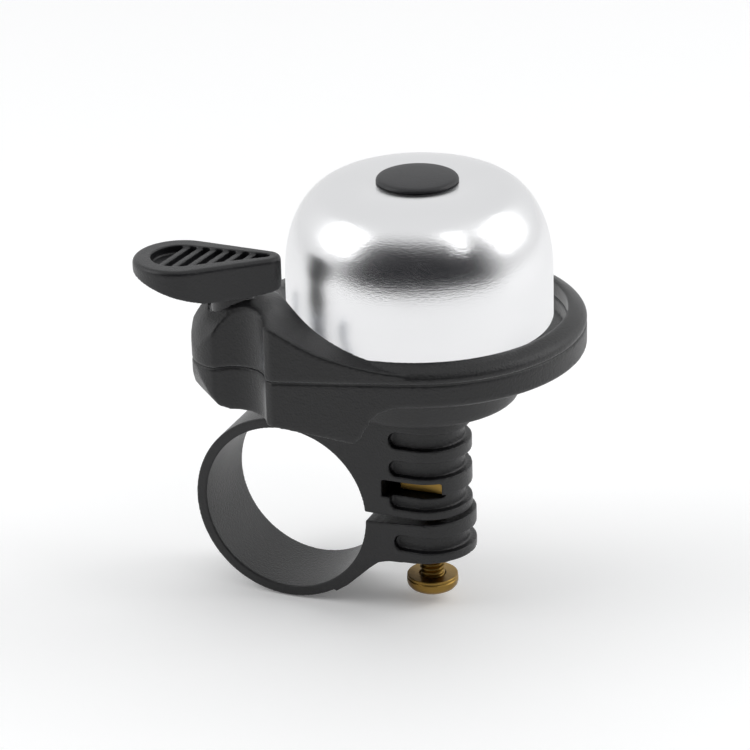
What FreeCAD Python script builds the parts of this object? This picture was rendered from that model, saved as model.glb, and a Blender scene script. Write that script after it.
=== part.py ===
import FreeCAD, Part
import math
import os

os.makedirs("parts", exist_ok=True)

# Bicycle bell with a thumb lever and a handlebar clamp. Millimetres.
# Origin: centre of the clamp bore. X runs along the handlebar, Y from the
# bar towards the dome, Z up along the dome's axis.

V = FreeCAD.Vector
X, Y, Z = V(1, 0, 0), V(0, 1, 0), V(0, 0, 1)

# Handlebar clamp
bore_r = 13.2             # bar clamp bore
band_wall = 1.6           # clamp band thickness
band_width = 13.6         # clamp width along the bar
tower_y = 20.8            # axis of the clamp tower
tower_r = 6.8
screw_y = 21.3            # axis of the clamp screw and nut
jaw_y = 21.4              # axis of the lower tab's round end
slot_floor_inner = -0.2   # lower tab's top face at the bore
slot_floor_outer = 0.85   # and at its outer end
slot_gap_inner = 1.6      # clamp slot at the bore
slot_gap_outer = 0.35     # clamp slot at the outer end
jaw_height = 6.45         # thickness of the lower tab
hinge_gap = 0.05          # clearance between the two band halves
top_groove_lift = 4.5     # shallow groove above the highest one
top_groove_depth = 0.6
groove_height = 2.6
groove_depth = 1.1
groove_start_y = 17.2     # rounded inner end of the grooves
groove_levels = [13.9, 9.3, 3.9]
jaw_groove_drop = 3.3     # groove in the lower tab, below its top face
web_rise_y = 9.0          # where the web leaves the band for the housing

# Clamp screw and nut
screw_r = 1.95            # M4 shank
screw_head_r = 3.95
screw_head_height = 2.2
screw_seat = -11.1        # level of the head's bearing face
screw_top = 12.0
screw_lift = 3.2          # travel left above the screw's tip
washer_r = 3.9
washer_thickness = 0.5
running_gap = 0.05        # radial clearance of turning and sliding fits
nut_across = 7.0
nut_height = 2.3
nut_bottom = 4.6
nut_room = 0.2            # clearance of the nut pocket above and below
nut_side_gap = 0.15
pocket_y0 = 15.9          # mouth of the nut pocket
pocket_y1 = 25.0
screw_clearance = 0.35    # radial clearance of the screw in the clamp and tower

# Dome
dome_y = 20.1             # axis of the dome and of the round housing
dome_r = 19.8
dome_wall = 1.2
dome_bottom = 31.8
dome_shoulder = 39.0      # level where the wall starts to curve in
dome_top = 53.3
dome_flat_r = 9.9         # start of the flat crown
crown_power = 2.18        # fullness of the shoulder curve
recess_r = 5.6            # pressed recess for the screw head
recess_depth = 3.0
dish_depth = 0.35         # the crown's shallow seat for the cap

# Housing
seam_z = 31.0             # parting plane of the two housings
tray_r = dome_r + 2.1     # inside of the tray, clear of the dome
rim_r = tray_r + 2.85
rim_bottom = 27.2
rim_top = 33.5
floor_top = 28.6
deck_r_top = tray_r - 5.3
deck_r_bottom = deck_r_top - 1.7
deck_bottom = 19.6
deck_floor = 22.1         # inside of the deck
housing_wall = 1.7
hood_limit = 44.0         # level above every part of the hood
passage_v = 9.6           # half width of the passage from the nose to the tray
nose_angle = -45.0        # plan direction of the nose, from +X
nose_bottom = 24.4
apron_bottom = 21.6
corner_u = rim_r + 3.85   # corner of the side wall
corner_v = 12.3
apron_u = rim_r - 6.35    # where the side wall's lower edge turns up
nose_end_u = rim_r + 10.95
nose_r = 5.6              # rounded end of the nose
scallop_u = nose_end_u - 2.1
scallop_v = 8.9
scallop_r = 5.0

# Dome fastening
post_r = 3.3
post_top = 47.9
seat_washer_r = 5.0
seat_washer_thickness = 0.8
dome_washer_r = 4.2
dome_washer_thickness = 0.6
dome_screw_r = 1.5
dome_screw_head_r = 2.8
dome_screw_head_height = 1.6
dome_screw_length = 14.0
cap_r = 6.45
cap_height = 1.0
cap_seat_gap = 0.02       # running clearance under the cap's edge
cap_plug_wall = 0.9

# Lever and striker
pivot_u = nose_end_u - 6.3   # lever axis, along the nose from the dome axis
lever_r = 3.1             # column that shows above the hood
lever_bore_gap = 0.25     # clearance of the column in the hood
lever_foot_r = 2.4        # lower part, inside the arm and the spring
lever_angle = -70.7       # plan direction of the thumb pad at rest
pad_top = 46.4
pad_length = 21.4
pad_inner = 7.2           # pad reach from its pivot towards the dome
pad_tip_r = 6.8
pad_point_r = 2.2
pad_bottom = 41.1
pad_tip_bottom = 44.4
pad_recess = 1.3          # depth of the grip recess
pad_rib_count = 6
pad_border = 2.6          # width of the rim round the grip recess
pad_edge_r = 0.7
rib_width = 0.9
rib_lean = -24.0          # slant of the grip ribs
pin_r = 1.5
pin_bottom = 25.2
pin_top = 38.5
pin_end_gap = 0.4
boss_r = 3.0
boss_top = 26.9
lever_washer_thickness = 0.3
hub_bottom = 27.3
hub_r = 3.45              # collar that holds the lever under the hood
hub_low = 34.6
hub_high = 36.4
arm_bottom = 29.3
arm_thickness = 1.4
arm_width = 3.6
striker_gap = 0.35        # between the striker at rest and the dome
hub_gap = 0.25            # room round the arm's hub
striker_r = 2.5
striker_bottom = 34.0
striker_height = 4.5
rivet_r = 1.1
rivet_head_r = 1.7
rivet_head = 0.4
spring_r = 2.95
spring_wire_r = 0.35
spring_turns = 3
scoop_wall = 1.2          # thinner wall behind the scallops

# Housing screws and bracket screws
case_screw_u = rim_r - 0.15
case_screw_v = 10.4
case_screw_r = 1.1
case_screw_head_r = 2.1
case_screw_head_height = 1.2
case_screw_depth = 8.5
case_screw_seat = 26.0
case_screw_blind = 5.5    # depth of the pilot hole in the upper housing
case_boss_r = 2.6
bracket_screw_x = 4.2
bracket_screw_y = 13.4
bracket_screw_r = 1.1
bracket_screw_head_r = 2.1
bracket_screw_head_height = 1.3
bracket_screw_depth = 6.5


def rod(radius, low, high, x=0.0, y=dome_y):
    return Part.makeCylinder(radius, high - low, V(x, y, low), Z)


def cone(radius_low, radius_high, low, high, x=0.0, y=dome_y):
    return Part.makeCone(radius_low, radius_high, high - low, V(x, y, low), Z)


def bar(x0, x1, y0, y1, z0, z1):
    return Part.makeBox(x1 - x0, y1 - y0, z1 - z0, V(x0, y0, z0))


def turned(profile, x=0.0, y=dome_y):
    """Solid of revolution about an upright axis from (radius, height) points."""
    wire = Part.makePolygon([V(x + r, y, z) for r, z in profile + profile[:1]])
    return Part.Face(wire).revolve(V(x, y, 0), Z, 360)


def extruded_plan(points, low, high):
    wire = Part.makePolygon([V(u, v, low) for u, v in points + points[:1]])
    return Part.Face(wire).extrude(V(0, 0, high - low))


def extruded_side(points, half_width):
    """Solid from a (y, z) outline, centred on the bar's middle plane."""
    wire = Part.makePolygon([V(-half_width, y, z) for y, z in points + points[:1]])
    return Part.Face(wire).extrude(V(2 * half_width, 0, 0))


def extruded_profile(points, half_width):
    """Solid from an (x, z) outline, centred on the XZ plane."""
    wire = Part.makePolygon([V(x, -half_width, z) for x, z in points + points[:1]])
    return Part.Face(wire).extrude(V(0, 2 * half_width, 0))


def on_nose(shape):
    """Turn a shape drawn in nose coordinates, u along and v across, into place."""
    placed = shape.copy()
    placed.rotate(V(0, 0, 0), Z, nose_angle)
    placed.translate(V(0, dome_y, 0))
    return placed


def nose_point(u, v=0.0):
    a = math.radians(nose_angle)
    return u * math.cos(a) - v * math.sin(a), dome_y + u * math.sin(a) + v * math.cos(a)


def largest(shape):
    """The main solid of a result, without loose slivers."""
    return max(shape.Solids, key=lambda solid: solid.Volume)


def one_solid(shape):
    return largest(shape.removeSplitter())


def rounded(shape, radius, wanted):
    return shape.makeFillet(radius, [edge for edge in shape.Edges if wanted(edge)])


def save(name, shape):
    shape.exportStep("parts/" + name + ".step")
    print(name, len(shape.Solids), round(shape.Volume, 1), shape.isValid())


# ---------------------------------------------------------------- dome

def dome_curve(outer_r, top, bottom, steps=9):
    """Half section of the shell's skin from its foot to the crown's edge."""
    points = [(outer_r, bottom)]
    rise = top - dome_shoulder
    reach = outer_r - dome_flat_r
    for i in range(steps + 1):
        t = math.pi / 2 * i / steps
        r = dome_flat_r + reach * math.cos(t) ** (2 / crown_power)
        z = dome_shoulder + rise * math.sin(t) ** (2 / crown_power)
        points.append((r, z))
    return points


def skin_edges(points):
    places = [V(r, dome_y, z) for r, z in points]
    curve = Part.BSplineCurve()
    curve.interpolate(places[1:])
    return [Part.LineSegment(places[0], places[1]).toShape(), curve.toShape()]


def line(a, b):
    return Part.LineSegment(V(a[0], dome_y, a[1]), V(b[0], dome_y, b[1])).toShape()


recess_floor = dome_top - recess_depth
screw_hole_r = dome_screw_r + 0.2


def make_dome():
    outer = dome_curve(dome_r, dome_top, dome_bottom)
    inner = dome_curve(dome_r - dome_wall, dome_top - dome_wall, dome_bottom)
    dish_z = dome_top - dish_depth
    edges = skin_edges(outer)
    path = [outer[-1], (recess_r + 1.0, dish_z), (recess_r, dish_z - 0.5), (recess_r, recess_floor)]
    path += [(screw_hole_r, recess_floor), (screw_hole_r, recess_floor - dome_wall)]
    path += [(recess_r + dome_wall, recess_floor - dome_wall)]
    path += [(recess_r + dome_wall, dish_z - dome_wall), inner[-1]]
    edges += [line(a, b) for a, b in zip(path, path[1:])]
    edges += skin_edges(inner) + [line(inner[0], outer[0])]
    wire = Part.Wire(Part.__sortEdges__(edges))
    return Part.Face(wire).revolve(V(0, dome_y, 0), Z, 360)


def make_cap():
    base = dome_top - dish_depth + cap_seat_gap
    top = base + cap_height
    underside = recess_floor + dome_washer_thickness + dome_screw_head_height + 0.2
    plug_r = recess_r - 0.1
    skirt_r = plug_r - cap_plug_wall
    skirt_low = recess_floor + 0.5
    profile = [(0, underside), (skirt_r, underside), (skirt_r, skirt_low), (plug_r, skirt_low),
               (plug_r, base), (cap_r, base), (cap_r, top - 0.35), (cap_r - 0.45, top - 0.05),
               (0, top + 0.15)]
    return turned(profile)


def pan_screw(shank_r, head_r, head_height, seat, tip, x, y, up=True):
    """Pan-head screw with a cross recess; its head starts at seat, its shank runs to tip."""
    sign = 1 if up else -1
    crown = seat + sign * head_height
    profile = [(0, tip), (shank_r * 0.75, tip), (shank_r, tip + sign * shank_r * 0.4),
               (shank_r, seat), (head_r, seat), (head_r, seat + sign * head_height * 0.45),
               (head_r * 0.92, seat + sign * head_height * 0.72),
               (head_r * 0.72, crown - sign * head_height * 0.1), (head_r * 0.45, crown), (0, crown)]
    body = turned(profile, x, y)
    cross_low = min(crown, crown - sign * head_height * 0.45)
    cross_high = cross_low + head_height * 0.5
    reach, half = head_r * 0.5, 0.3
    for long_x, long_y in ((reach, half), (half, reach)):
        body = body.cut(bar(x - long_x, x + long_x, y - long_y, y + long_y, cross_low, cross_high))
    return one_solid(body)


def make_dome_fastening():
    seat_top = post_top + seat_washer_thickness
    washer_low = recess_floor
    head_seat = washer_low + dome_washer_thickness
    hole = rod(screw_hole_r, post_top - 1, head_seat + 1)
    seat_washer = rod(seat_washer_r, post_top, seat_top).cut(hole)
    washer = rod(dome_washer_r, washer_low, head_seat).cut(hole)
    screw = pan_screw(dome_screw_r, dome_screw_head_r, dome_screw_head_height,
                      head_seat, head_seat - dome_screw_length, 0, dome_y)
    return seat_washer, washer, screw


# ------------------------------------------------------------- housing

tangent = math.acos(rim_r / math.hypot(corner_u, corner_v)) + math.atan2(corner_v, corner_u)
side_u, side_v = rim_r * math.cos(tangent), rim_r * math.sin(tangent)


def mirrored(half):
    """Closed outline from its half on the positive side of the nose."""
    return half + [(u, -v) for u, v in reversed(half)]


def scoops(radius, low, high):
    """The two round scallops beside the end of the nose."""
    return [Part.makeCylinder(radius, high - low, V(scallop_u, side * scallop_v, low), Z)
            for side in (1, -1)]


def nose_plan(low, high):
    """The nose in plan: side walls tangent to the rim, corners and a round end."""
    end_u = nose_end_u - nose_r
    shoulder = (end_u + nose_r * 0.62, nose_r * 0.78)
    body = extruded_plan(mirrored([(0, side_v), (side_u, side_v), (corner_u, corner_v)]), low, high)
    joint = extruded_plan(mirrored([(side_u, corner_v), (corner_u, corner_v), shoulder]), low, high)
    tip = Part.makeCylinder(nose_r, high - low, V(end_u, 0, low), Z)
    return one_solid(body.fuse([tip, joint]).cut(scoops(scallop_r, low, high)))


def smooth_through(places, values, at):
    """Height at a place on a smooth curve that never overshoots its points."""
    steps = [(v1 - v0) / (p1 - p0) for v0, v1, p0, p1 in zip(values, values[1:], places, places[1:])]
    slopes = [steps[0]]
    for before, after in zip(steps, steps[1:]):
        slopes.append(0.0 if before * after <= 0 else 2 * before * after / (before + after))
    slopes.append(steps[-1])
    i = max(k for k in range(len(steps)) if places[k] <= at + 1e-9)
    width = places[i + 1] - places[i]
    t = (at - places[i]) / width
    return ((1 + 2 * t) * (1 - t) ** 2 * values[i] + t * (1 - t) ** 2 * width * slopes[i]
            + t * t * (3 - 2 * t) * values[i + 1] + t * t * (t - 1) * width * slopes[i + 1])


def hood_top():
    """Solid under the hood's swept top, skinned over cross-sections along the nose."""
    # Each row: distance back from the nose's end, then the height of the top at the spans below.
    sections = [(27.7, 33.4, 33.4, 33.3, 33.0, 32.4), (21.7, 34.6, 34.5, 34.3, 33.7, 32.6),
                (17.7, 36.7, 36.5, 35.8, 34.6, 33.0), (13.7, 39.0, 38.4, 37.3, 35.7, 33.6),
                (9.7, 40.3, 40.1, 39.6, 37.6, 34.6), (6.7, 40.6, 40.6, 40.5, 38.8, 35.6),
                (4.7, 40.1, 40.0, 39.6, 38.0, 35.0), (3.2, 38.9, 38.6, 37.9, 36.4, 33.4),
                (1.6, 37.5, 36.7, 35.6, 34.0, 32.0), (0.6, 35.6, 34.4, 33.0, 32.0, 31.4),
                (-0.05, 33.0, 32.2, 31.6, 31.3, 31.2)]
    spans = (0.0, 3.5, 7.0, 13.0, 22.0)
    places = [nose_end_u - row[0] for row in sections]
    columns = list(zip(*sections))[1:]
    slices = 32
    wires = []
    for k in range(slices + 1):
        u = places[0] + (places[-1] - places[0]) * (1 - (1 - k / slices) ** 1.4)
        half = [V(u, v, smooth_through(places, column, u)) for v, column in zip(spans, columns)]
        other = [V(p.x, -p.y, p.z) for p in reversed(half[1:])]
        curve = Part.BSplineCurve()
        curve.interpolate(other + half)
        left, right = V(u, -spans[-1], deck_bottom), V(u, spans[-1], deck_bottom)
        corners = [half[-1], right, left, other[0]]
        sides = [Part.LineSegment(a, b).toShape() for a, b in zip(corners, corners[1:])]
        wires.append(Part.Wire([curve.toShape()] + sides))
    return Part.makeLoft(wires, True, True)


pivot_x, pivot_y = nose_point(pivot_u)
case_screw_places = [nose_point(case_screw_u, side * case_screw_v) for side in (1, -1)]


def cavity(low, high):
    """Room inside the nose, a wall thickness in from its outline."""
    w = housing_wall
    slant = w / math.cos(math.radians(30))
    inner_u = corner_u - w - 2.2
    end_u = nose_end_u - nose_r
    room = extruded_plan(mirrored([(tray_r - 8, side_v - 7.0), (side_u + 2.0, side_v - slant - 1.2),
                                   (inner_u, corner_v - slant + 0.6)]), low, high)
    tip = Part.makeCylinder(nose_r - w, high - low, V(end_u, 0, low), Z)
    link_v = max(nose_r - w, hub_r + hub_gap)
    link = extruded_plan(mirrored([(tray_r, link_v), (end_u, link_v)]), low, high)
    room = room.fuse([tip, link]).cut(scoops(scallop_r + scoop_wall, low, high))
    return on_nose(one_solid(room)).cut(rod(tray_r + w, low - 1, high + 1))


def make_upper_housing():
    rim = turned([(tray_r, seam_z), (rim_r, seam_z), (rim_r, seam_z + 0.9), (rim_r - 0.5, seam_z + 1.6),
                  (rim_r - 1.3, rim_top - 0.35), (rim_r - 2.2, rim_top), (tray_r, rim_top)])
    plan = nose_plan(seam_z, hood_limit)
    top = hood_top()
    solid_hood = on_nose(largest(plan.common(top)))
    roof = top.copy()
    roof.translate(V(0, 0, -housing_wall))
    room = cavity(seam_z - 1, hood_limit).common(on_nose(roof))
    body = rim.fuse(solid_hood.cut(room)).cut(rod(tray_r, seam_z - 1, hood_limit))
    inner_wall = rod(tray_r + housing_wall, seam_z + 1.3, hood_limit)
    inner_wall = inner_wall.cut(rod(tray_r, seam_z, hood_limit + 1))
    body = body.fuse(inner_wall.common(solid_hood))
    for x, y in case_screw_places:
        boss = rod(case_boss_r, seam_z, hood_limit, x, y).common(solid_hood)
        pilot = rod(case_screw_r, seam_z - 1, seam_z + case_screw_blind, x, y)
        body = body.fuse(boss).cut(pilot)
    return largest(body.cut(rod(lever_r + lever_bore_gap, seam_z, hood_limit + 1, pivot_x, pivot_y)))


def make_lower_housing():
    band = turned([(0, rim_bottom), (rim_r - 0.5, rim_bottom), (rim_r, rim_bottom + 0.5),
                   (rim_r, seam_z), (0, seam_z)])
    plan = nose_plan(apron_bottom - 2, seam_z)
    belly = [(9, rim_bottom + 1), (13.4, rim_bottom), (15.3, rim_bottom - 0.8), (16.4, rim_bottom - 2.2),
             (apron_u - 0.9, apron_bottom + 1.0), (apron_u, apron_bottom), (corner_u, nose_bottom - 0.35),
             (nose_end_u - 3.8, nose_bottom - 0.1), (nose_end_u - 2.2, nose_bottom + 0.6),
             (nose_end_u - 1.1, nose_bottom + 2.2), (nose_end_u - 0.3, nose_bottom + 4.4),
             (nose_end_u + 0.1, seam_z), (9, seam_z)]
    nose = on_nose(one_solid(plan.common(extruded_profile(belly, rim_r))))
    deck_top = rim_bottom + 0.2
    deck = turned([(0, deck_bottom), (deck_r_bottom - 1.0, deck_bottom),
                   (deck_r_bottom - 0.3, deck_bottom + 0.3), (deck_r_bottom, deck_bottom + 1.0),
                   (deck_r_top, deck_top), (0, deck_top)])
    body = band.fuse([nose, deck])
    body = body.cut(rod(tray_r, floor_top, seam_z + 1))
    body = body.cut(rod(deck_r_bottom - housing_wall, deck_floor, floor_top + 1))
    room = cavity(nose_bottom + housing_wall, seam_z + 1)
    passage = extruded_plan(mirrored([(deck_r_top, passage_v), (rim_r + 1.2, passage_v)]), floor_top, seam_z + 1)
    body = body.cut(room).cut(on_nose(passage))
    column = rod(post_r, deck_bottom, post_top)
    column = column.fuse(cone(post_r + 2.2, post_r, deck_bottom + housing_wall, seam_z - 1))
    body = body.fuse(column)
    thread_low = recess_floor + dome_washer_thickness - dome_screw_length - 1.0
    body = body.cut(rod(dome_screw_r, thread_low, post_top + 1))
    body = body.fuse(rod(boss_r, nose_bottom + 0.5, boss_top, pivot_x, pivot_y))
    body = body.cut(rod(pin_r, pin_bottom, boss_top + 1, pivot_x, pivot_y))
    body = body.cut(rod(hub_r + hub_gap, boss_top, seam_z + 1, pivot_x, pivot_y))
    for x, y in case_screw_places:
        body = body.fuse(rod(case_boss_r, apron_bottom + 2.0, seam_z, x, y))
        body = body.cut(rod(case_screw_r, deck_bottom, seam_z + 1, x, y))
        body = body.cut(rod(case_screw_head_r + 0.2, deck_bottom, case_screw_seat, x, y))
    for side in (1, -1):
        place = (side * bracket_screw_x, bracket_screw_y)
        body = body.cut(rod(bracket_screw_r, deck_bottom - 1, floor_top, *place))
        body = body.cut(rod(bracket_screw_head_r + 0.2, deck_floor, floor_top + 1, *place))
    return one_solid(body)


# --------------------------------------------------------------- clamp

def groove(level, depth=groove_depth, axis_y=tower_y):
    """A groove round the tower's outer side with rounded inner ends."""
    r = groove_height / 2
    core_r = tower_r - depth
    big = tower_r + 3
    start = groove_start_y + r + axis_y - tower_y
    slab = bar(-big, big, start, axis_y + big, level - r, level + r)
    ends = Part.makeCylinder(r, 2 * big, V(-big, start, level), X)
    low, high = level - groove_height, level + groove_height
    core = rod(core_r, low, high, 0, axis_y).fuse(bar(-core_r, core_r, 0, axis_y, low, high))
    return slab.fuse(ends).cut(core)


def bore_cut():
    return Part.makeCylinder(bore_r, band_width + 2, V(-band_width / 2 - 1, 0, 0), X)


def band_ring(low, high):
    """The band between two levels, as a piece of the ring round the bore."""
    outer = bore_r + band_wall
    ring = Part.makeCylinder(outer, band_width, V(-band_width / 2, 0, 0), X).cut(bore_cut())
    return ring.common(bar(-band_width, band_width, -outer - 1, outer + 1, low, high))


slot_slope = (slot_floor_outer - slot_floor_inner) / (jaw_y + tower_r - bore_r)


def slot_floor(y):
    """Height of the lower tab's sloping top face."""
    return slot_floor_inner + slot_slope * (y - bore_r)


def make_clamp_bracket():
    half = band_width / 2
    outer = bore_r + band_wall
    ring = band_ring(hinge_gap, outer + 1)
    tower = rod(tower_r, 0, deck_bottom, 0, tower_y)
    web = extruded_side([(0, 0), (tower_y, 0), (tower_y, deck_bottom), (web_rise_y, deck_bottom),
                         (web_rise_y - 1.5, deck_bottom - 1.6), (web_rise_y - 3.5, deck_bottom - 3.4),
                         (web_rise_y - 7.0, outer - 0.3), (web_rise_y - 7.0, bore_r - 1)], half)
    body = ring.fuse([tower, web]).cut(bore_cut())
    far = tower_y + tower_r + 1
    slot_end = slot_floor_outer + slot_gap_outer
    slot = extruded_side([(0, -2), (far, -2), (far, slot_end), (bore_r, slot_floor_inner + slot_gap_inner),
                          (0, slot_floor_inner + slot_gap_inner)], half + 2)
    body = body.cut(slot)
    for level in groove_levels:
        body = body.cut(groove(level))
    body = body.cut(groove(groove_levels[0] + top_groove_lift, top_groove_depth))
    pocket_low = nut_bottom - nut_room
    pocket_high = nut_bottom + nut_height + nut_room
    pocket_x = -nut_across / 2 - nut_side_gap
    body = body.cut(bar(pocket_x, half + 1, pocket_y0, pocket_y1, pocket_low, pocket_high))
    body = body.cut(rod(screw_r + screw_clearance, -1, screw_top + screw_lift, 0, screw_y))
    for side in (1, -1):
        low = deck_floor - bracket_screw_depth - 0.3
        place = (side * bracket_screw_x, bracket_screw_y)
        body = body.cut(rod(bracket_screw_r, low, deck_bottom + 1, *place))
    return one_solid(body)


def make_clamp_jaw():
    half = band_width / 2
    outer = bore_r + band_wall
    far = jaw_y + tower_r + 1
    near = bore_r - 3

    def top(y):
        return y, slot_floor(y)

    def under(y, extra=0.0):
        return y, slot_floor(y) - jaw_height - extra

    keep = extruded_side([top(near), top(far), under(far), under(bore_r), under(near)], half + 1)
    tab = rod(tower_r, -outer, outer, 0, jaw_y).common(keep)
    side = [top(bore_r - 1.5), top(jaw_y), under(jaw_y), under(16.6), under(15.1, 0.35), (13.6, -8.1),
            (11.6, -10.0), (9.9, -11.6), (8.0, -12.9), (0, -6), (0, 0)]
    web = extruded_side(side, half).cut(bar(-half - 1, half + 1, -1, bore_r - 1.4, -hinge_gap, 5))
    body = band_ring(-outer - 1, -hinge_gap).fuse([tab, web]).cut(bore_cut())
    body = body.cut(groove(slot_floor(jaw_y) - jaw_groove_drop, groove_depth, jaw_y))
    return one_solid(body.cut(rod(screw_r + screw_clearance, -outer, outer, 0, screw_y)))


def make_nut():
    low, high = nut_bottom, nut_bottom + nut_height
    h = nut_across / 2
    nut = bar(-h, h, screw_y - h, screw_y + h, low, high)
    nut = nut.common(cone(nut_across * 0.9, nut_across * 0.62, low, high, 0, screw_y))
    return nut.cut(rod(screw_r + running_gap, low - 1, high + 1, 0, screw_y))


def make_clamp_screw():
    return pan_screw(screw_r, screw_head_r, screw_head_height, screw_seat, screw_top, 0, screw_y, up=False)


def make_clamp_washer():
    washer = rod(washer_r, screw_seat, screw_seat + washer_thickness, 0, screw_y)
    return washer.cut(rod(screw_r + running_gap, screw_seat - 1, screw_seat + 2, 0, screw_y))


# --------------------------------------------------------------- lever

def pad_plan(low, high, inset=0.0):
    """Teardrop pad seen from above, drawn with its tip along +X from the pivot."""
    tip_x = pad_length - pad_inner - pad_tip_r
    point_x = -pad_inner + pad_point_r
    big = pad_tip_r - inset
    small = pad_point_r - inset * 0.6
    lean = math.asin((big - small) / (tip_x - point_x))
    s, c = math.sin(lean), math.cos(lean)
    a, b = V(tip_x - big * s, big * c, low), V(point_x - small * s, small * c, low)
    a2, b2 = V(a.x, -a.y, low), V(b.x, -b.y, low)
    edges = [Part.Arc(a, V(tip_x + big, 0, low), a2).toShape(), Part.LineSegment(a2, b2).toShape(),
             Part.Arc(b2, V(point_x - small, 0, low), b).toShape(), Part.LineSegment(b, a).toShape()]
    return Part.Face(Part.Wire(edges)).extrude(V(0, 0, high - low))


def at_lever(shape):
    placed = shape.copy()
    placed.rotate(V(0, 0, 0), Z, lever_angle)
    placed.translate(V(pivot_x, pivot_y, 0))
    return placed


def make_thumb_lever():
    pad = pad_plan(pad_bottom - 1, pad_top)
    tip = pad_length - pad_inner
    middle = (pad_bottom + pad_tip_bottom) / 2 - 0.35
    side = [(-pad_inner - 1, pad_bottom + 0.6), (-4, pad_bottom), (3.5, pad_bottom), (tip * 0.55, middle),
            (tip + 0.2, pad_tip_bottom + 0.3), (tip + 0.2, pad_top + 1), (-pad_inner - 1, pad_top + 1)]
    pad = pad.common(extruded_profile(side, pad_length))
    pad = rounded(pad, pad_edge_r, lambda edge: edge.BoundBox.ZMin > pad_top - 0.01)
    floor = pad_top - pad_recess
    recess = pad_plan(floor, pad_top + 1, pad_border)
    ribs = []
    pitch = (pad_length - 2 * pad_border - 1.8) / (pad_rib_count + 0.5)
    for i in range(pad_rib_count):
        x = -pad_inner + 1.6 * pad_border + pitch * i
        rib = Part.makeBox(rib_width, pad_length, pad_recess - 0.3, V(x, -pad_length / 2, floor))
        rib.rotate(V(x, 0, 0), Z, rib_lean)
        ribs.append(rib)
    recess = recess.cut(Part.makeCompound(ribs))
    pad = pad.cut(recess)
    stem = Part.makeCylinder(lever_r, pad_bottom + 1 - hub_low, V(0, 0, hub_low), Z)
    foot = Part.makeCylinder(lever_foot_r, hub_low + 1 - hub_bottom, V(0, 0, hub_bottom), Z)
    collar = Part.makeCylinder(hub_r, hub_high - hub_low, V(0, 0, hub_low), Z)
    body = at_lever(pad.fuse([stem, foot, collar]))
    bore = rod(pin_r + running_gap, hub_bottom - 1, pin_top + pin_end_gap, pivot_x, pivot_y)
    return one_solid(body.cut(bore))


# The arm is as long as it takes for the striker to rest just inside the dome's wall.
arm_heading = math.radians(lever_angle + 180)
striker_circle = dome_r - dome_wall - striker_r - striker_gap
inward = -(pivot_x * math.cos(arm_heading) + (pivot_y - dome_y) * math.sin(arm_heading))
arm_length = inward - math.sqrt(inward ** 2 - pivot_u ** 2 + striker_circle ** 2)
striker_place = (pivot_x + arm_length * math.cos(arm_heading), pivot_y + arm_length * math.sin(arm_heading))


def make_hammer_arm():
    low, high = arm_bottom, arm_bottom + arm_thickness
    ring = Part.makeCylinder(hub_r, arm_thickness, V(0, 0, low), Z)
    strip = Part.makeBox(arm_length, arm_width, arm_thickness, V(-arm_length, -arm_width / 2, low))
    end = Part.makeCylinder(arm_width / 2, arm_thickness, V(-arm_length, 0, low), Z)
    shape = at_lever(ring.fuse([strip, end])).cut(rod(lever_foot_r, low - 1, high + 1, pivot_x, pivot_y))
    return one_solid(shape.cut(rod(rivet_r, low - 1, high + 1, *striker_place)))


def make_hammer_head():
    chamfer = 0.6
    top = striker_bottom + striker_height
    return turned([(rivet_r, striker_bottom), (striker_r - chamfer, striker_bottom),
                      (striker_r, striker_bottom + chamfer), (striker_r, top - chamfer),
                      (striker_r - chamfer, top), (rivet_r, top)], *striker_place)


def make_hammer_rivet():
    shoulder_r = rivet_r + 0.4
    low, seat = arm_bottom, arm_bottom + arm_thickness
    top = striker_bottom + striker_height
    return turned([(0, low - rivet_head), (rivet_head_r, low - rivet_head), (rivet_head_r, low),
                   (rivet_r, low), (rivet_r, seat), (shoulder_r, seat), (shoulder_r, striker_bottom),
                   (rivet_r, striker_bottom), (rivet_r, top), (rivet_head_r - 0.1, top),
                   (rivet_head_r - 0.5, top + rivet_head), (0, top + rivet_head)], *striker_place)


def make_lever_washer():
    low = boss_top + running_gap
    ring = rod(boss_r - 0.2, low, low + lever_washer_thickness, pivot_x, pivot_y)
    return ring.cut(rod(pin_r + running_gap, low - 1, low + 1, pivot_x, pivot_y))


def make_return_spring():
    pitch = spring_wire_r * 2.5
    helix = Part.makeHelix(pitch, pitch * spring_turns, spring_r)
    circle = Part.Circle(V(spring_r, 0, 0), V(0, 1, 0.05), spring_wire_r).toShape()
    coil = Part.Wire(helix).makePipeShell([Part.Wire(circle)], True, True)
    coil.translate(V(pivot_x, pivot_y, arm_bottom + arm_thickness + 0.5))
    return coil


def make_pivot_pin():
    return rod(pin_r, pin_bottom, pin_top, pivot_x, pivot_y)


def make_case_screws():
    tip = case_screw_seat + case_screw_depth
    return Part.makeCompound([pan_screw(case_screw_r, case_screw_head_r, case_screw_head_height,
                                        case_screw_seat, tip, x, y, up=False)
                              for x, y in case_screw_places])


def make_bracket_screws():
    tip = deck_floor - bracket_screw_depth
    return Part.makeCompound([pan_screw(bracket_screw_r, bracket_screw_head_r, bracket_screw_head_height,
                                        deck_floor, tip, side * bracket_screw_x, bracket_screw_y)
                              for side in (1, -1)])


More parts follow.
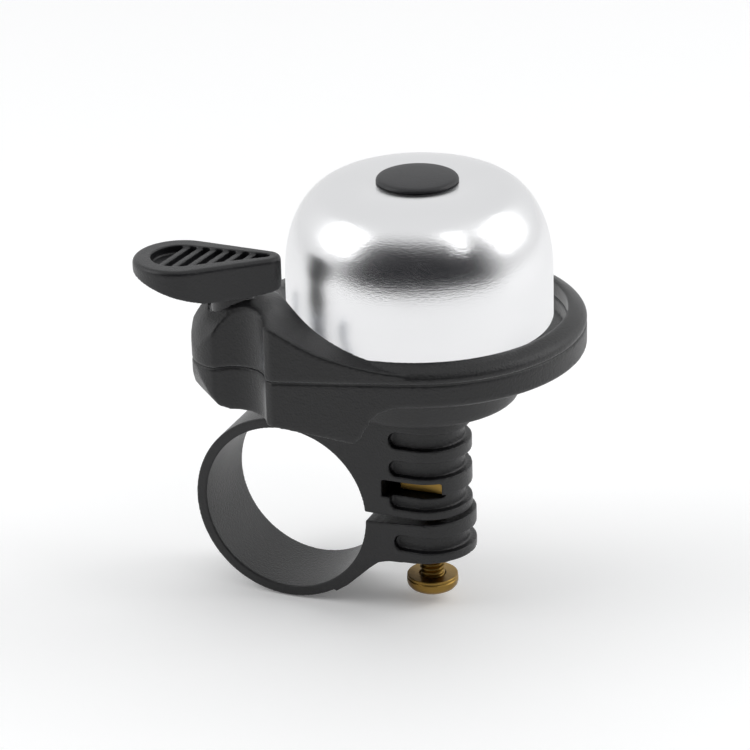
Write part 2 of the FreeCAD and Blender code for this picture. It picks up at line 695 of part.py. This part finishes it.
seat_washer, dome_washer, dome_screw = make_dome_fastening()
save("dome", make_dome())
save("dome_cap", make_cap())
save("dome_seat_washer", seat_washer)
save("dome_washer", dome_washer)
save("dome_screw", dome_screw)
save("upper_housing", make_upper_housing())
save("lower_housing", make_lower_housing())
save("housing_screws", make_case_screws())
save("bracket_screws", make_bracket_screws())
save("clamp_bracket", make_clamp_bracket())
save("clamp_jaw", make_clamp_jaw())
save("clamp_nut", make_nut())
save("clamp_screw", make_clamp_screw())
save("clamp_washer", make_clamp_washer())
save("thumb_lever", make_thumb_lever())
save("hammer_arm", make_hammer_arm())
save("hammer_head", make_hammer_head())
save("hammer_rivet", make_hammer_rivet())
save("lever_washer", make_lever_washer())
save("return_spring", make_return_spring())
save("pivot_pin", make_pivot_pin())
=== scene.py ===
# A bicycle bell with a thumb lever on a handlebar clamp, built piece by piece round its CAD model.
import bpy
import math
from mathutils import Matrix, Vector


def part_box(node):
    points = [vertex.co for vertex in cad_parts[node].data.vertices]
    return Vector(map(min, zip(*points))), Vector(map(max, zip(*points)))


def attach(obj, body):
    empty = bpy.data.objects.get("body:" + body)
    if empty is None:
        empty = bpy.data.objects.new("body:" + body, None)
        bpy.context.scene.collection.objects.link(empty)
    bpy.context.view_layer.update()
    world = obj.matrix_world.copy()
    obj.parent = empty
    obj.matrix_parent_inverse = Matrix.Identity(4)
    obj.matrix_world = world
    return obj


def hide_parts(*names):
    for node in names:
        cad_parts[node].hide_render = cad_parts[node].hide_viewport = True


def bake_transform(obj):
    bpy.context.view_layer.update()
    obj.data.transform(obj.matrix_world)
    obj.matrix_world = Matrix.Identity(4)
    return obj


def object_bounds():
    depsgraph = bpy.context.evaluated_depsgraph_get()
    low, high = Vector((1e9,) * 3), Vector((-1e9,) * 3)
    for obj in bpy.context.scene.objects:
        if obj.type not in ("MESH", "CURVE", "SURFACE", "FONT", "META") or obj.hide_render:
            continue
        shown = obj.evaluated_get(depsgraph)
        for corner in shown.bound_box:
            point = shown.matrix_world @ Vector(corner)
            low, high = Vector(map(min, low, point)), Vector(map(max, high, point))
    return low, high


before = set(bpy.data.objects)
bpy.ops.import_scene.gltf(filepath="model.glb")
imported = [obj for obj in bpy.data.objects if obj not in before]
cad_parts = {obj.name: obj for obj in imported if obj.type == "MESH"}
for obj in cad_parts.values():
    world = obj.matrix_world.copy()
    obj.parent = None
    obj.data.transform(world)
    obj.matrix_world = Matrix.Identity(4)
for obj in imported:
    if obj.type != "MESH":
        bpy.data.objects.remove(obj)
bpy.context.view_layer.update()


# ---- The dome: drawn and spun from aluminium sheet, then satin brushed round its axis.
# It stands mouth down in the tray, on a washer, and one screw in its crown's recess holds it.

mm = 0.001   # sizes below are in millimetres and Blender's unit is the metre


def linear(hex_colour):
    """An sRGB hex colour as linear red, green, blue and full alpha."""
    parts = [int(hex_colour[i:i + 2], 16) / 255 for i in (0, 2, 4)]
    return [p / 12.92 if p <= 0.04045 else ((p + 0.055) / 1.055) ** 2.4 for p in parts] + [1.0]


def add_node(material, kind, links=None, **settings):
    """Adds a node to a material, sets its sockets and properties, and links its inputs."""
    node = material.node_tree.nodes.new(kind)
    for key, value in settings.items():
        if key in node.inputs:
            node.inputs[key].default_value = value
        else:
            setattr(node, key, value)
    for socket, source in (links or {}).items():
        material.node_tree.links.new(source, node.inputs[socket])
    return node


def new_material(name, colour, roughness, metallic=0.0):
    """A material with its shader's constant values set; patterns are linked to it afterwards."""
    material = bpy.data.materials.new(name)
    material.use_nodes = True
    shader = material.node_tree.nodes["Principled BSDF"]
    shader.inputs["Base Color"].default_value = linear(colour)
    shader.inputs["Roughness"].default_value = roughness
    shader.inputs["Metallic"].default_value = metallic
    material.diffuse_color = linear(colour)
    return material, shader


def start_edit(piece):
    """Selects one piece alone and opens its whole mesh for editing."""
    bpy.ops.object.select_all(action="DESELECT")
    piece.select_set(True)
    bpy.context.view_layer.objects.active = piece
    bpy.ops.object.mode_set(mode="EDIT")
    bpy.ops.mesh.select_all(action="SELECT")


def end_edit(piece, smooth_angle=35):
    """Closes seams and poles, turns faces outwards, and sets the piece's origin at the frame's."""
    bpy.ops.mesh.select_all(action="SELECT")
    bpy.ops.mesh.remove_doubles(threshold=0.02 * mm)
    bpy.ops.mesh.normals_make_consistent(inside=False)
    bpy.ops.object.mode_set(mode="OBJECT")
    bpy.ops.object.transform_apply(location=True, rotation=True, scale=True)
    bpy.ops.object.shade_smooth_by_angle(angle=math.radians(smooth_angle))


def turned_piece(name, axis, profile, sides=160, smooth_angle=35):
    """A turned piece: a ring drawn through each radius and height of its profile, in mm."""
    x, y = axis
    radius, level = profile[0]
    bpy.ops.object.select_all(action="DESELECT")
    bpy.ops.mesh.primitive_circle_add(vertices=sides, radius=radius * mm, location=(x, y, level * mm))
    piece = bpy.context.object
    piece.name = name
    start_edit(piece)
    for (r0, z0), (r1, z1) in zip(profile, profile[1:]):
        bpy.ops.mesh.extrude_region_move(TRANSFORM_OT_translate={"value": (0, 0, (z1 - z0) * mm)})
        bpy.ops.transform.resize(value=(r1 / r0, r1 / r0, 1), center_override=(x, y, z1 * mm))
    end_edit(piece, smooth_angle)
    return piece


def fit(piece, body, material, slot, *nodes):
    """Gives a piece its material, sets it on the body it rides on, if one, and hides the CAD pieces it stands
    for.
    """
    piece.data.materials.clear()
    piece.data.materials.append(material)
    if body:
        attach(piece, body)
    if nodes:
        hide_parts(*nodes)


dome_low, dome_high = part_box("dome")
dome_axis = ((dome_low.x + dome_high.x) / 2, (dome_low.y + dome_high.y) / 2)
dome_radius = (dome_high.x - dome_low.x) / 2 / mm
dome_foot, dome_crown = dome_low.z / mm, dome_high.z / mm
wall_top, shoulder_level = 36.0, 39.0
crown_flat, dish_radius, dish = 9.9, 8.4, 0.35   # the crown's flat, and the dish pressed in it round the cap
recess_radius, recess_depth, screw_hole = 5.6, 3.0, 1.7
sheet, lip = 1.2, 0.35   # the sheet's thickness, and the radius of the foot's edge


def shoulder_curve(foot_radius, crown_level, steps, fullness=2.18):
    """The skin from the top of its wall to the edge of its flat crown."""
    curve = []
    for i in range(steps + 1):
        t = math.pi / 2 * i / steps
        radius = crown_flat + (foot_radius - crown_flat) * math.cos(t) ** (2 / fullness)
        level = shoulder_level + (crown_level - shoulder_level) * math.sin(t) ** (2 / fullness)
        curve.append((radius, level))
    return curve


dome_bore = dome_radius - sheet
dish_level = dome_crown - dish
recess_floor = dome_crown - recess_depth
outer_foot = [(dome_radius - lip, dome_foot), (dome_radius - 0.1, dome_foot + 0.1),
              (dome_radius, dome_foot + lip), (dome_radius, wall_top)]
outer_skin = shoulder_curve(dome_radius, dome_crown, 40)
crown = [(dish_radius, dome_crown - 0.03), (recess_radius + 1.3, dish_level),
         (recess_radius + 0.3, dish_level), (recess_radius, dish_level - 0.3),
         (recess_radius, recess_floor), (screw_hole, recess_floor),
         (screw_hole, recess_floor - sheet), (recess_radius + sheet, recess_floor - sheet),
         (recess_radius + sheet, dish_level - sheet)]
inner_skin = shoulder_curve(dome_bore, dome_crown - sheet, 16)
inner_skin.reverse()
inner_foot = [(dome_bore, wall_top), (dome_bore, dome_foot + 0.2), (dome_bore + 0.2, dome_foot),
              (dome_radius - lip, dome_foot)]
dome = turned_piece("dome_shell", dome_axis,
                    outer_foot + outer_skin + crown + inner_skin + inner_foot, sides=180)

# Aluminium, spun and satin brushed on a lathe: the eye sees fine rings, reflections drawn out across
# them, and a slightly uneven sheen. A 240 grit scratch is 0.05 mm wide; it is drawn at 0.25 mm to show.
spun_aluminium, shader = new_material("spun_aluminium_satin", "e9e9ea", 0.2, 1.0)
shader.inputs["Anisotropic"].default_value = 0.55
scratch, clouding, streak_length, streak_height = 0.25 * mm, 6.0 * mm, 0.7 * mm, 0.22 * mm
place = add_node(spun_aluminium, "ShaderNodeTexCoord")
centred = add_node(spun_aluminium, "ShaderNodeVectorMath", {"Vector": place.outputs["Object"]},
                   operation="SUBTRACT")
centred.inputs[1].default_value = (dome_axis[0], dome_axis[1], 0)
parts = add_node(spun_aluminium, "ShaderNodeSeparateXYZ", {"Vector": centred.outputs["Vector"]})
flat = add_node(spun_aluminium, "ShaderNodeCombineXYZ", {"X": parts.outputs["X"], "Y": parts.outputs["Y"]})
reach = add_node(spun_aluminium, "ShaderNodeVectorMath", {"Vector": flat.outputs["Vector"]},
                 operation="LENGTH")
rings = add_node(spun_aluminium, "ShaderNodeCombineXYZ",
                 {"X": reach.outputs["Value"], "Y": parts.outputs["Z"]})
lines = add_node(spun_aluminium, "ShaderNodeTexNoise", {"Vector": rings.outputs["Vector"]},
                 Scale=1 / scratch, Detail=3.0, Roughness=0.6)
cloud = add_node(spun_aluminium, "ShaderNodeTexNoise", {"Vector": place.outputs["Object"]},
                 Scale=1 / clouding, Detail=4.0)
drawn_out = add_node(spun_aluminium, "ShaderNodeMapping", {"Vector": place.outputs["Object"]})
drawn_out.inputs["Scale"].default_value = (1 / streak_length, 1 / streak_length, 1 / streak_height)
satin = add_node(spun_aluminium, "ShaderNodeTexNoise", {"Vector": drawn_out.outputs["Vector"]},
                 Scale=1.0, Detail=3.0, Roughness=0.6)
sheen = add_node(spun_aluminium, "ShaderNodeMapRange", {"Value": cloud.outputs["Fac"]})
sheen.inputs["To Min"].default_value = 0.2
sheen.inputs["To Max"].default_value = 0.3
ring_relief = add_node(spun_aluminium, "ShaderNodeBump", {"Height": lines.outputs["Fac"]},
                       Strength=0.4, Distance=0.01 * mm)
satin_relief = add_node(spun_aluminium, "ShaderNodeBump",
                        {"Height": satin.outputs["Fac"], "Normal": ring_relief.outputs["Normal"]},
                        Strength=0.6, Distance=0.03 * mm)
tangent = add_node(spun_aluminium, "ShaderNodeTangent", direction_type="RADIAL", axis="Z")
for source, socket in ((sheen.outputs["Result"], "Roughness"), (satin_relief.outputs["Normal"], "Normal"),
                       (tangent.outputs["Tangent"], "Tangent")):
    spun_aluminium.node_tree.links.new(source, shader.inputs[socket])
fit(dome, "root", spun_aluminium, "dome_aluminium", "dome")


# ---- The cap: a round plug moulded in black ABS, pressed into the crown's recess over the screw.
# Its edge is rounded and its face slightly domed.

cap_low, cap_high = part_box("dome_cap")
cap_radius = (cap_high.x - cap_low.x) / 2 / mm - 0.35
cap_top, cap_foot = cap_high.z / mm - 0.2, cap_low.z / mm
cap_under = dish_level + 0.03   # the rim's underside lies just clear of the dish
skirt_inner, skirt_outer, skirt_hollow = 4.6, 5.5, 1.9
cap_edge = [(0, 0.75), (0.06, 0.55), (0.2, 0.38), (0.42, 0.27), (0.8, 0.2)]   # inwards, and down from the top
cap = turned_piece("dome_cap_plug", dome_axis, [
    (0.01, cap_foot + skirt_hollow), (skirt_inner, cap_foot + skirt_hollow), (skirt_inner, cap_foot),
    (skirt_outer, cap_foot), (skirt_outer, cap_under), (cap_radius - 0.15, cap_under),
    (cap_radius, cap_under + 0.15)] + [(cap_radius - inward, cap_top - down) for inward, down in cap_edge]
    + [(4.0, cap_top - 0.09), (2.0, cap_top - 0.02), (0.01, cap_top)], sides=120)


def grain(material, shader, size, depth, gloss_low, gloss_high, tint_low, tint_high):
    """A fine grain of one size in relief, with an uneven gloss and a faint change of shade."""
    place = add_node(material, "ShaderNodeTexCoord")
    pits = add_node(material, "ShaderNodeTexNoise", {"Vector": place.outputs["Object"]},
                    Scale=1 / size, Detail=3.0, Roughness=0.65)
    patches = add_node(material, "ShaderNodeTexNoise", {"Vector": place.outputs["Object"]},
                       Scale=1 / (28 * size), Detail=4.0)
    gloss = add_node(material, "ShaderNodeMapRange", {"Value": patches.outputs["Fac"]})
    gloss.inputs["To Min"].default_value = gloss_low
    gloss.inputs["To Max"].default_value = gloss_high
    shade = add_node(material, "ShaderNodeValToRGB", {"Fac": patches.outputs["Fac"]})
    shade.color_ramp.elements[0].color = linear(tint_low)
    shade.color_ramp.elements[1].color = linear(tint_high)
    relief = add_node(material, "ShaderNodeBump", {"Height": pits.outputs["Fac"]},
                      Strength=1.0, Distance=depth)
    for source, socket in ((gloss.outputs["Result"], "Roughness"), (shade.outputs["Color"], "Base Color"),
                           (relief.outputs["Normal"], "Normal")):
        material.node_tree.links.new(source, shader.inputs[socket])


# ABS plastic moulded black against a finely spark-eroded steel mould: even and dark, with a
# grain that breaks up highlights. The real grain is about 0.1 mm; it is drawn at 0.34 mm to show.
mould_grain = 0.34 * mm
black_abs, shader = new_material("moulded_black_abs", "101011", 0.42)
grain(black_abs, shader, mould_grain, 0.1 * mm, 0.32, 0.44, "0b0b0c", "131315")
# The cap's ABS is a shade greyer and duller, from a mould with a flatter grain.
cap_abs, shader = new_material("moulded_cap_abs", "1c1c1f", 0.5)
grain(cap_abs, shader, mould_grain, 0.06 * mm, 0.42, 0.52, "18181b", "222226")
fit(cap, "root", cap_abs, "cap_plastic", "dome_cap")


# ---- The dome's fastening: a post of the lower housing, a fibre washer, and an M3 screw on a washer.
# All of it is hidden by the dome and its cap.

def finish_node(name, material):
    """Gives a CAD piece that is kept as it is its material."""
    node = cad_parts[name]
    node.data.materials.clear()
    node.data.materials.append(material)


# Steel screws and stampings, zinc plated and clear passivated: a pale blue-white metal with a
# crystalline mottle. The crystals are finer than the 0.3 mm at which they are drawn to show.
bright_zinc, shader = new_material("clear_zinc_steel", "c6c9ce", 0.32, 1.0)
grain(bright_zinc, shader, 0.3 * mm, 0.004 * mm, 0.26, 0.4, "bcc0c6", "cfd1d5")
# Vulcanised fibre, punched from red-brown sheet: matt and slightly fibrous. Its fine
# fibres are drawn at 0.25 mm to show.
red_fibre, shader = new_material("vulcanised_fibre", "5b2c22", 0.75)
grain(red_fibre, shader, 0.25 * mm, 0.02 * mm, 0.68, 0.82, "4e241c", "683528")
for name in ("dome_screw", "dome_washer"):
    finish_node(name, bright_zinc)
finish_node("dome_seat_washer", red_fibre)


# ---- The housing: two shells moulded in black ABS that meet at a fine seam round the tray.
# The upper one carries the rim and the hood over the lever; the lower one the deck and the apron.

def moulded_copy(name, nodes, voxel, passes, most_triangles=190000):
    """A copy of moulded CAD pieces as one skin, whose edges all have a mould's small radius."""
    bpy.ops.object.select_all(action="DESELECT")
    copies = [bpy.data.objects.new(name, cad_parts[node].data.copy()) for node in nodes]
    for copy in copies:
        bpy.context.scene.collection.objects.link(copy)
        copy.select_set(True)
    piece = copies[0]
    bpy.context.view_layer.objects.active = piece
    if len(copies) > 1:
        bpy.ops.object.join()
    start_edit(piece)
    bpy.ops.mesh.remove_doubles(threshold=0.002 * mm)
    bpy.ops.object.mode_set(mode="OBJECT")
    skin = piece.modifiers.new("skin", "REMESH")
    skin.mode = "VOXEL"
    skin.voxel_size = voxel * mm
    soften = piece.modifiers.new("soften", "SMOOTH")
    soften.factor = 0.5
    soften.iterations = passes
    for modifier in ("skin", "soften"):
        bpy.ops.object.modifier_apply(modifier=modifier)
    triangles = 2 * len(piece.data.polygons)
    if triangles > most_triangles:
        fewer = piece.modifiers.new("fewer", "DECIMATE")
        fewer.ratio = most_triangles / triangles
        bpy.ops.object.modifier_apply(modifier="fewer")
    bpy.ops.object.shade_smooth()
    return piece


upper_shell = moulded_copy("upper_housing_shell", ["upper_housing"], 0.24, 5)
fit(upper_shell, "root", black_abs, "black_plastic", "upper_housing")
lower_shell = moulded_copy("lower_housing_shell", ["lower_housing"], 0.28, 4)
fit(lower_shell, "root", black_abs, "black_plastic", "lower_housing")
# A studio retouch: the shells are left out of reflections, so the dome shows the table and not the tray.
for shell in (upper_shell, lower_shell):
    shell.visible_glossy = False
for name in ("housing_screws", "bracket_screws"):
    finish_node(name, bright_zinc)


# ---- The clamp: one flexible band moulded in black ABS, split at the screw's side, with a ribbed tower
# above the split and a tab below it. The real band bends at its far side when the screw closes it; here it is
# drawn as one rigid piece.

band = moulded_copy("clamp_band", ["clamp_bracket", "clamp_jaw"], 0.16, 4)
fit(band, None, black_abs, "black_plastic", "clamp_bracket", "clamp_jaw")
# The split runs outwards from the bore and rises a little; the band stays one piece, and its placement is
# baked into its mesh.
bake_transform(band)


# ---- The clamp's fastening: an M4 pan-head screw with a cross recess, its washer and a square nut.
# All three are steel, zinc plated and yellow passivated.

screw_low, screw_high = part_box("clamp_screw")
screw_axis = ((screw_low.x + screw_high.x) / 2, (screw_low.y + screw_high.y) / 2)
head_radius = (screw_high.x - screw_low.x) / 2 / mm
head_bottom = screw_low.z / mm
head_seat = head_bottom + 2.2
thread_radius, thread_pitch, thread_depth, thread_turns = 1.94, 0.7, 0.36, 32
thread_start = head_seat - 0.3   # the thread begins inside the head
steps_a_turn = 18

bpy.ops.object.select_all(action="DESELECT")
bpy.ops.mesh.primitive_circle_add(vertices=36, radius=(thread_radius - thread_depth / 2) * mm,
                                  location=(screw_axis[0], screw_axis[1], thread_start * mm))
thread = bpy.context.object
thread.name = "clamp_screw_threaded"
start_edit(thread)
bpy.ops.transform.translate(value=(thread_depth / 2 * mm, 0, 0))
bpy.ops.object.mode_set(mode="OBJECT")
helix = thread.modifiers.new("helix", "SCREW")
helix.axis = "Z"
helix.angle = 2 * math.pi
helix.screw_offset = thread_pitch * mm
helix.iterations = thread_turns
helix.steps = steps_a_turn
helix.render_steps = steps_a_turn
bpy.ops.object.modifier_apply(modifier="helix")
start_edit(thread)
bpy.ops.mesh.remove_doubles(threshold=0.01 * mm)
bpy.ops.mesh.select_all(action="DESELECT")
bpy.ops.mesh.select_non_manifold()
bpy.ops.mesh.fill_holes(sides=0)
end_edit(thread, 50)

head_edge = [(0.15, 0), (0, 0.15), (0, 0.75), (0.12, 1.15), (0.45, 1.55), (1.0, 1.88)]   # inwards, and down
head = turned_piece("clamp_screw_head", screw_axis, [(0.01, head_seat)]
                    + [(head_radius - inward, head_seat - down) for inward, down in head_edge]
                    + [(head_radius - 1.7, head_bottom + 0.12), (head_radius - 2.5, head_bottom + 0.03),
                       (0.01, head_bottom)], sides=96)
cross_reach, cross_width, cross_height, cross_middle = 4.2, 1.0, 1.9, 0.25
cutters = []
for size_x, size_y in ((cross_reach, cross_width), (cross_width, cross_reach)):
    bpy.ops.object.select_all(action="DESELECT")
    bpy.ops.mesh.primitive_cube_add(
        size=1, location=(screw_axis[0], screw_axis[1], (head_bottom + cross_middle) * mm))
    bpy.context.object.scale = (size_x * mm, size_y * mm, cross_height * mm)
    bpy.ops.object.transform_apply(location=True, rotation=True, scale=True)
    cutters.append(bpy.context.object)
for cutter in cutters:
    bpy.ops.object.select_all(action="DESELECT")
    head.select_set(True)
    bpy.context.view_layer.objects.active = head
    recess = head.modifiers.new("recess", "BOOLEAN")
    recess.object = cutter
    recess.solver = "EXACT"
    bpy.ops.object.modifier_apply(modifier="recess")
    bpy.data.objects.remove(cutter)
bpy.ops.object.select_all(action="DESELECT")
head.select_set(True)
thread.select_set(True)
bpy.context.view_layer.objects.active = thread
bpy.ops.object.join()
bpy.ops.object.shade_smooth_by_angle(angle=math.radians(40))

washer_low, washer_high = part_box("clamp_washer")
washer_radius = (washer_high.x - washer_low.x) / 2 / mm
washer_foot = washer_low.z / mm + 0.02   # clear of the screw's head, which turns under it
washer_top = washer_high.z / mm
washer_hole, hole_edge, washer_edge = 2.05, 2.1, 0.1
outer_edge = washer_radius - washer_edge
washer = turned_piece("clamp_washer_ring", screw_axis, [
    (hole_edge, washer_foot), (outer_edge, washer_foot), (washer_radius, washer_foot + washer_edge),
    (washer_radius, washer_top - washer_edge), (outer_edge, washer_top), (hole_edge, washer_top),
    (washer_hole, washer_top - washer_edge), (washer_hole, washer_foot + washer_edge),
    (hole_edge, washer_foot)], sides=96)

# Steel, zinc plated and yellow chromate passivated: golden, with a drift towards bronze over
# several millimetres and a fine crystalline grain, drawn at 0.3 mm to show.
yellow_zinc, shader = new_material("yellow_chromate_zinc", "8c7038", 0.3, 1.0)
grain(yellow_zinc, shader, 0.3 * mm, 0.02 * mm, 0.24, 0.4, "6e4f22", "a88c4c")
fit(thread, "screw", yellow_zinc, "yellow_zinc", "clamp_screw")
fit(washer, "screw_washer", yellow_zinc, "yellow_zinc", "clamp_washer")
finish_node("clamp_nut", yellow_zinc)


# ---- The thumb lever: a teardrop pad with a ribbed grip on a short column, moulded in black ABS.
# Its foot turns on a steel pin inside the hood.

# ABS moulded black as the housing's, from a mould with a slightly flatter grain: dark and satin.
lever_abs, shader = new_material("moulded_lever_abs", "121214", 0.42)
grain(lever_abs, shader, mould_grain, 0.07 * mm, 0.32, 0.44, "0d0d0f", "151518")
lever = moulded_copy("thumb_lever_pad", ["thumb_lever"], 0.15, 4)
fit(lever, "lever", lever_abs, "lever_plastic", "thumb_lever")


# ---- The striker and its return: a stamped steel arm, a turned brass striker riveted to it, and a
# torsion spring on the lever's foot. All of them are inside the housing and the dome.

# Brass, turned from bar and left bare: warm yellow metal with faint tool marks about 0.12 mm apart.
turned_brass, shader = new_material("turned_brass", "b5933f", 0.3, 1.0)
grain(turned_brass, shader, 0.12 * mm, 0.004 * mm, 0.22, 0.34, "a98636", "c4a24e")
finish_node("hammer_head", turned_brass)
for name in ("hammer_arm", "hammer_rivet", "return_spring", "pivot_pin"):
    finish_node(name, bright_zinc)
finish_node("lever_washer", red_fibre)


# ---- The setting: a white table and a pale room that is darker on the camera's side, with a soft box
# on each side and a tall narrow one that stands for a window. The table and the room aren't the object.

camera_azimuth, camera_elevation, camera_roll = 112.57, 23.17, 1.52
camera_distance = 500 * mm
aim = Vector((0, 12.6, 21.05)) * mm
turn, tilt, roll = (math.radians(angle) for angle in (camera_azimuth, camera_elevation, camera_roll))
back = Vector((math.sin(turn) * math.cos(tilt), -math.cos(turn) * math.cos(tilt), math.sin(tilt)))
right = Vector((math.cos(turn), math.sin(turn), 0))
up = back.cross(right)
turned_right = right * math.cos(roll) - up * math.sin(roll)
turned_up = right * math.sin(roll) + up * math.cos(roll)
camera_data = bpy.data.cameras.new("camera")
camera_data.lens = 159.5
camera_data.sensor_width = 36
camera_data.clip_end = 20
camera = bpy.data.objects.new("camera", camera_data)
bpy.context.scene.collection.objects.link(camera)
camera_place = Matrix((turned_right, turned_up, back)).transposed().to_4x4()
camera_place.translation = aim + back * camera_distance
camera.matrix_world = camera_place
bpy.context.scene.camera = camera
bpy.context.scene.view_settings.view_transform = "Standard"

table_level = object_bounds()[0].z - 0.2 * mm
bpy.ops.object.select_all(action="DESELECT")
bpy.ops.mesh.primitive_plane_add(size=1.4, location=(0, 0, table_level))
table = bpy.context.object
table.name = "table_top"
white, shader = new_material("white_card", "fbfbfb", 0.9)
shader.inputs["Emission Color"].default_value = linear("ffffff")
shader.inputs["Emission Strength"].default_value = 0.12
table.data.materials.append(white)

toward_camera = Vector((back.x, back.y, 0)).normalized()


def soft_box(name, sideways, forward, height, size, watts):
    """An area light that faces the bell; sideways is to the camera's right."""
    data = bpy.data.lights.new(name, "AREA")
    data.shape = "RECTANGLE"
    data.size, data.size_y = size
    data.energy = watts
    lamp = bpy.data.objects.new(name, data)
    bpy.context.scene.collection.objects.link(lamp)
    lamp.location = aim + right * sideways + toward_camera * forward + Vector((0, 0, height))
    lamp.rotation_euler = (lamp.location - aim).to_track_quat("Z", "Y").to_euler()


soft_box("left_box", -0.6, 0.08, 0.4, (0.4, 0.4), 1.25)
soft_box("right_box", 0.62, -0.05, 0.34, (0.4, 0.4), 1.1)
soft_box("window", 0.34, 0.36, 0.5, (0.1, 0.36), 0.35)

world = bpy.data.worlds.new("studio")
bpy.context.scene.world = world
world.use_nodes = True
background = world.node_tree.nodes["Background"]
sky = add_node(world, "ShaderNodeTexCoord")
facing = add_node(world, "ShaderNodeVectorMath", {"Vector": sky.outputs["Generated"]},
                  operation="DOT_PRODUCT")
facing.inputs[1].default_value = toward_camera
level = add_node(world, "ShaderNodeSeparateXYZ", {"Vector": sky.outputs["Generated"]})
in_front = add_node(world, "ShaderNodeMapRange", {"Value": facing.outputs["Value"]},
                    interpolation_type="SMOOTHSTEP")
in_front.inputs["From Min"].default_value = 0.1
in_front.inputs["From Max"].default_value = 0.62
low_down = add_node(world, "ShaderNodeMapRange", {"Value": level.outputs["Z"]},
                    interpolation_type="SMOOTHSTEP")
low_down.inputs["From Min"].default_value = 0.95
low_down.inputs["From Max"].default_value = 0.58
dark = add_node(world, "ShaderNodeMath", {0: in_front.outputs["Result"], 1: low_down.outputs["Result"]},
                operation="MULTIPLY")
room = add_node(world, "ShaderNodeValToRGB", {"Fac": dark.outputs["Value"]})
room.color_ramp.elements[0].color = (0.87, 0.875, 0.88, 1)
room.color_ramp.elements[1].color = (0.02, 0.02, 0.023, 1)
world.node_tree.links.new(room.outputs["Color"], background.inputs["Color"])
# The camera sees the room as plain white.
ray = add_node(world, "ShaderNodeLightPath")
plain = add_node(world, "ShaderNodeBackground", Color=(1, 1, 1, 1))
either = add_node(world, "ShaderNodeMixShader", {"Fac": ray.outputs["Is Camera Ray"]})
world.node_tree.links.new(background.outputs["Background"], either.inputs[1])
world.node_tree.links.new(plain.outputs["Background"], either.inputs[2])
world.node_tree.links.new(either.outputs["Shader"], world.node_tree.nodes["World Output"].inputs["Surface"])
